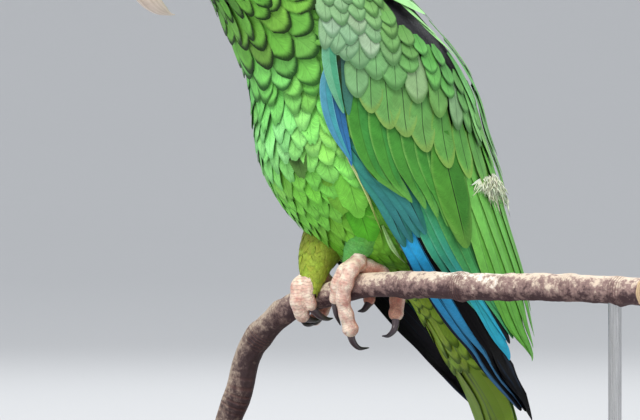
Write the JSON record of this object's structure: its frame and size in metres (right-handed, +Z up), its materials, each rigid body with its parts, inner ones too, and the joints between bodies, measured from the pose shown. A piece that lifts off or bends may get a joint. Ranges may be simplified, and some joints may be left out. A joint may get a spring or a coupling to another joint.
{
  "type": "perched parrot model",
  "caption": "Life-size green Amazon parrot gripping a cut branch with folded wings and bowed head, on an oval display stand with short rods.",
  "frame": {"origin": "middle of the stand base's flat underside", "axes": "+Z up; the bird faces -Y and its left side is towards +X"},
  "size_m": [0.2182, 0.1829, 0.2752],
  "materials": {
    "plumage_head": "smooth dark-edged contour feathers",
    "plumage_body": "overlapping dark-edged contour feathers",
    "plumage_wing": "overlapping coverts and flight feathers",
    "plumage_tail": "long overlapping tail feathers",
    "plumage_thigh": "short soft feathers",
    "foot_skin": "scaly, satin",
    "claw_horn": "semi-gloss horn",
    "bill_horn": "satin horn",
    "eye": "wet gloss",
    "bark": "rough",
    "stand_wood": "satin varnish",
    "stand_steel": "satin"
  },
  "bodies": {
    "root": {"head": "plumage_head", "neck": "plumage_body", "trunk": "plumage_body", "tail": "plumage_tail", "wing_left": "plumage_wing", "wing_right": "plumage_wing", "thigh_left": "plumage_thigh", "thigh_right": "plumage_thigh", "foot_left": "foot_skin", "foot_right": "foot_skin", "eye_left": "eye", "eye_right": "eye", "bill_upper": "bill_horn", "bill_lower": "bill_horn", "perch": "bark", "stand_base": "stand_wood", "stand_rod_1": "stand_steel", "stand_rod_2": "stand_steel", "claw_1_left": "claw_horn", "claw_2_left": "claw_horn", "claw_3_left": "claw_horn", "claw_4_left": "claw_horn", "claw_1_right": "claw_horn", "claw_2_right": "claw_horn", "claw_3_right": "claw_horn", "claw_4_right": "claw_horn"}
  },
  "joints": []
}
